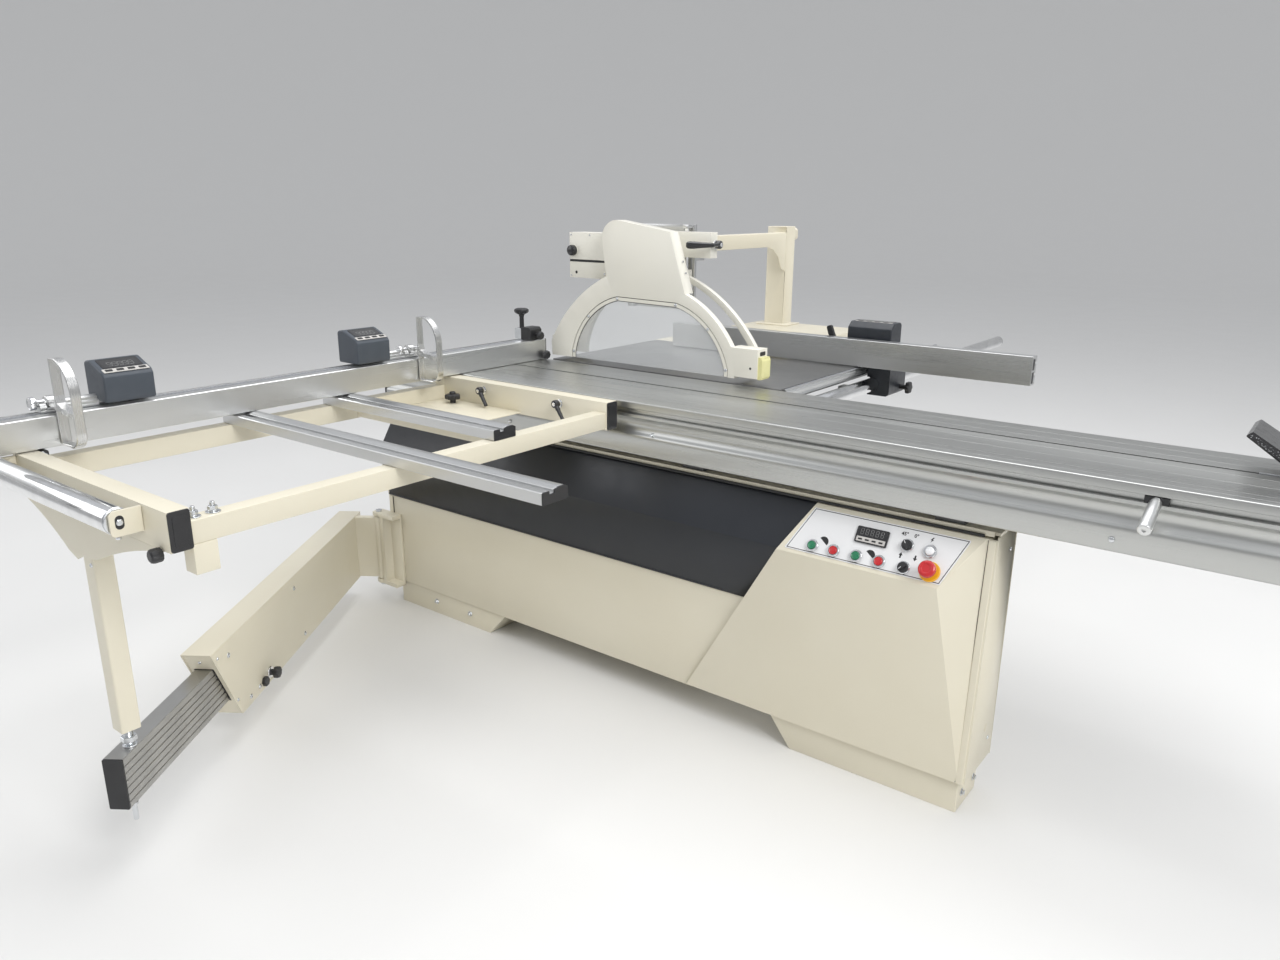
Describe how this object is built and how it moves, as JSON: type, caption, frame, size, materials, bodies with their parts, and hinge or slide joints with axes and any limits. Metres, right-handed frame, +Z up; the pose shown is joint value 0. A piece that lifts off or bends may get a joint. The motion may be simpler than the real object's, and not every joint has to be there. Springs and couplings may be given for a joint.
{
  "type": "sliding table panel saw",
  "caption": "Sliding-table panel saw with outrigger on a telescopic swing arm, mitre fence with flip stops, rip fence, overhead guard and tilting saw unit.",
  "frame": {"origin": "on the floor, under the middle of the machine's overall box", "axes": "+X along the sliding table to the operator's end, +Y across it from the outrigger to the rip side, +Z up"},
  "size_m": [3.4151, 3.8, 1.343],
  "materials": {
    "cream_paint": "satin powder coat",
    "dark_paint": "satin powder coat",
    "satin_aluminium": "satin anodised",
    "cast_iron": "ground and oiled",
    "chrome": "polished",
    "steel": "zinc plated or machined",
    "black_plastic": "fine grain",
    "slate_plastic": "fine grain",
    "red_plastic": "gloss",
    "green_plastic": "gloss",
    "clear_window": "clear polycarbonate",
    "belt_rubber": "matte",
    "plate_white": "satin"
  },
  "bodies": {
    "base": {"plinths": "cream_paint", "cabinet_shell": "cream_paint", "front_panel": "cream_paint", "upper_cover": "dark_paint", "control_box": "cream_paint", "control_plate": "plate_white", "slide_beam": "satin_aluminium", "table_supports": "cast_iron", "cast_table": "cast_iron", "extension_table": "cream_paint", "rip_scale_rail": "satin_aluminium", "rip_bar": "chrome", "guard_post": "cream_paint", "guard_head": "steel", "arm_bracket": "cream_paint", "tilt_trunnions": "cast_iron", "dust_port": "black_plastic"},
    "main_start": {"main_start_button": "green_plastic"},
    "main_stop": {"main_stop_button": "red_plastic"},
    "scoring_start": {"scoring_start_button": "green_plastic"},
    "scoring_stop": {"scoring_stop_button": "red_plastic"},
    "e_stop": {"e_stop_button": "red_plastic"},
    "tilt_switch": {"tilt_selector": "black_plastic"},
    "rise_switch": {"rise_selector": "black_plastic"},
    "cage": {"roller_cage": "steel"},
    "table": {"slide_table": "satin_aluminium", "push_handle": "satin_aluminium", "outrigger_frame": "cream_paint", "end_caps": "black_plastic", "support_bars": "satin_aluminium", "support_leg": "cream_paint"},
    "shoe": {"edging_shoe": "black_plastic"},
    "roller": {"support_roller": "chrome"},
    "clamp_1": {"clamp_lever_1": "black_plastic"},
    "clamp_2": {"clamp_lever_2": "black_plastic"},
    "fence": {"crosscut_fence": "satin_aluminium", "fence_index": "black_plastic"},
    "extension": {"fence_extension": "satin_aluminium"},
    "stop_1": {"stop_slide_1": "slate_plastic"},
    "flip_1": {"flip_arm_1": "satin_aluminium"},
    "stop_2": {"stop_slide_2": "slate_plastic"},
    "flip_2": {"flip_arm_2": "satin_aluminium"},
    "arm": {"swing_arm": "cream_paint"},
    "beam": {"arm_beam": "satin_aluminium"},
    "carriage": {"rip_carriage": "black_plastic"},
    "rip": {"rip_fence": "satin_aluminium"},
    "rip_cam": {"rip_lever": "black_plastic"},
    "rip_knob": {"rip_lock_knob": "black_plastic"},
    "unit": {"tilt_frame": "cast_iron"},
    "rise": {"arbor_housing": "cast_iron", "drive_motor": "dark_paint", "drive_belt": "belt_rubber", "riving_knife": "steel"},
    "arbor": {"main_arbor": "steel", "main_blade": "steel"},
    "motor": {"motor_shaft": "steel"},
    "scoring": {"scoring_unit": "steel"},
    "hood": {"guard_hood": "cream_paint", "guard_window": "clear_window"},
    "hood_lever": {"guard_lever": "black_plastic"}
  },
  "joints": [
    {"name": "main_start_press", "type": "slide", "parent": "base", "child": "main_start", "axis": [0, 0.8376, -0.5463], "range_m": [0, 0.004], "stiffness_N_per_m": 400},
    {"name": "main_stop_press", "type": "slide", "parent": "base", "child": "main_stop", "axis": [0, 0.8376, -0.5463], "range_m": [0, 0.004], "stiffness_N_per_m": 400},
    {"name": "scoring_start_press", "type": "slide", "parent": "base", "child": "scoring_start", "axis": [0, 0.8376, -0.5463], "range_m": [0, 0.004], "stiffness_N_per_m": 400},
    {"name": "scoring_stop_press", "type": "slide", "parent": "base", "child": "scoring_stop", "axis": [0, 0.8376, -0.5463], "range_m": [0, 0.004], "stiffness_N_per_m": 400},
    {"name": "e_stop_press", "type": "slide", "parent": "base", "child": "e_stop", "axis": [0, 0.8376, -0.5463], "range_m": [0, 0.005]},
    {"name": "tilt_switch_turn", "type": "hinge", "parent": "base", "child": "tilt_switch", "pos_m": [0.379, -0.3576, 0.63808], "axis": [0, -0.8376, 0.5463], "range_deg": [-45, 45]},
    {"name": "rise_switch_turn", "type": "hinge", "parent": "base", "child": "rise_switch", "pos_m": [0.385, -0.38655, 0.59369], "axis": [0, -0.8376, 0.5463], "range_deg": [-45, 45]},
    {"name": "table_travel", "type": "slide", "parent": "base", "child": "table", "axis": [1, 0, 0], "range_m": [-1.3, 0.3]},
    {"name": "cage_travel", "type": "slide", "parent": "base", "child": "cage", "axis": [1, 0, 0], "range_m": [-0.66, 0.16]},
    {"name": "shoe_travel", "type": "slide", "parent": "table", "child": "shoe", "axis": [1, 0, 0], "range_m": [-0.9, 0.55]},
    {"name": "roller_spin", "type": "hinge", "parent": "table", "child": "roller", "pos_m": [-0.84, -1.669, 0.848], "axis": [1, 0, 0], "continuous": true},
    {"name": "clamp_1_turn", "type": "hinge", "parent": "table", "child": "clamp_1", "pos_m": [-0.955, -0.43, 0.85], "axis": [0, -1, 0], "range_deg": [0, 90]},
    {"name": "clamp_2_turn", "type": "hinge", "parent": "table", "child": "clamp_2", "pos_m": [-0.646, -0.43, 0.85], "axis": [0, -1, 0], "range_deg": [0, 90]},
    {"name": "fence_mitre", "type": "hinge", "parent": "table", "child": "fence", "pos_m": [-1.142, -0.398, 0.9], "axis": [0, 0, 1], "range_deg": [0, 45]},
    {"name": "extension_slide", "type": "slide", "parent": "fence", "child": "extension", "axis": [0, -1, 0], "range_m": [0, 0.95]},
    {"name": "stop_1_travel", "type": "slide", "parent": "fence", "child": "stop_1", "axis": [0, 1, 0], "range_m": [-0.3, 0.45]},
    {"name": "stop_2_travel", "type": "slide", "parent": "fence", "child": "stop_2", "axis": [0, 1, 0], "range_m": [-0.06, 0.33]},
    {"name": "flip_1_turn", "type": "hinge", "parent": "stop_1", "child": "flip_1", "pos_m": [-1.154, -1.53, 0.968], "axis": [0, -1, 0], "range_deg": [0, 95]},
    {"name": "flip_2_turn", "type": "hinge", "parent": "stop_2", "child": "flip_2", "pos_m": [-1.154, -0.529, 0.968], "axis": [0, -1, 0], "range_deg": [0, 95]},
    {"name": "arm_swing", "type": "hinge", "parent": "base", "child": "arm", "pos_m": [-1.55, -0.392, 0.22], "axis": [0, 0, 1], "range_deg": [-57, 15]},
    {"name": "beam_extend", "type": "slide", "parent": "arm", "child": "beam", "axis": [0.5769, -0.8168, 0], "range_m": [-0.2, 0.2]},
    {"name": "rip_travel", "type": "slide", "parent": "base", "child": "carriage", "axis": [0, 1, 0], "range_m": [-0.38, 0.74]},
    {"name": "rip_fence_slide", "type": "slide", "parent": "carriage", "child": "rip", "axis": [1, 0, 0], "range_m": [-0.25, 0.2]},
    {"name": "rip_cam_turn", "type": "hinge", "parent": "carriage", "child": "rip_cam", "pos_m": [-0.306, 0.62, 0.925], "axis": [0, -1, 0], "range_deg": [0, 60]},
    {"name": "rip_knob_turn", "type": "hinge", "parent": "carriage", "child": "rip_knob", "pos_m": [-0.07, 0.689, 0.8], "axis": [1, 0, 0], "range_deg": [0, 270]},
    {"name": "blade_tilt", "type": "hinge", "parent": "base", "child": "unit", "pos_m": [-0.717, 0.034, 0.875], "axis": [-1, 0, 0], "range_deg": [0, 45]},
    {"name": "blade_rise", "type": "slide", "parent": "unit", "child": "rise", "axis": [0, 0, 1], "range_m": [0, 0.105]},
    {"name": "arbor_spin", "type": "hinge", "parent": "rise", "child": "arbor", "pos_m": [-0.717, 0.034, 0.7105], "axis": [0, 1, 0], "continuous": true},
    {"name": "motor_spin", "type": "hinge", "parent": "rise", "child": "motor", "pos_m": [-0.717, 0.126, 0.545], "axis": [0, 1, 0], "continuous": true},
    {"name": "scoring_spin", "type": "hinge", "parent": "unit", "child": "scoring", "pos_m": [-0.467, 0.034, 0.81], "axis": [0, 1, 0], "continuous": true},
    {"name": "guard_lift", "type": "slide", "parent": "base", "child": "hood", "axis": [0, 0, 1], "range_m": [-0.01, 0.12]},
    {"name": "guard_lever_turn", "type": "hinge", "parent": "hood", "child": "hood_lever", "pos_m": [-0.505, 0.166, 1.272], "axis": [1, 0, 0], "range_deg": [-40, 40]}
  ],
  "couplings": [
    {"joint": "cage_travel", "follows": "table_travel", "ratio": 0.5},
    {"joint": "arm_swing", "follows": "table_travel", "rad_per_m": 0.742},
    {"joint": "beam_extend", "follows": "table_travel", "ratio": 0.15},
    {"joint": "motor_spin", "follows": "arbor_spin", "ratio": 0.7273}
  ]
}
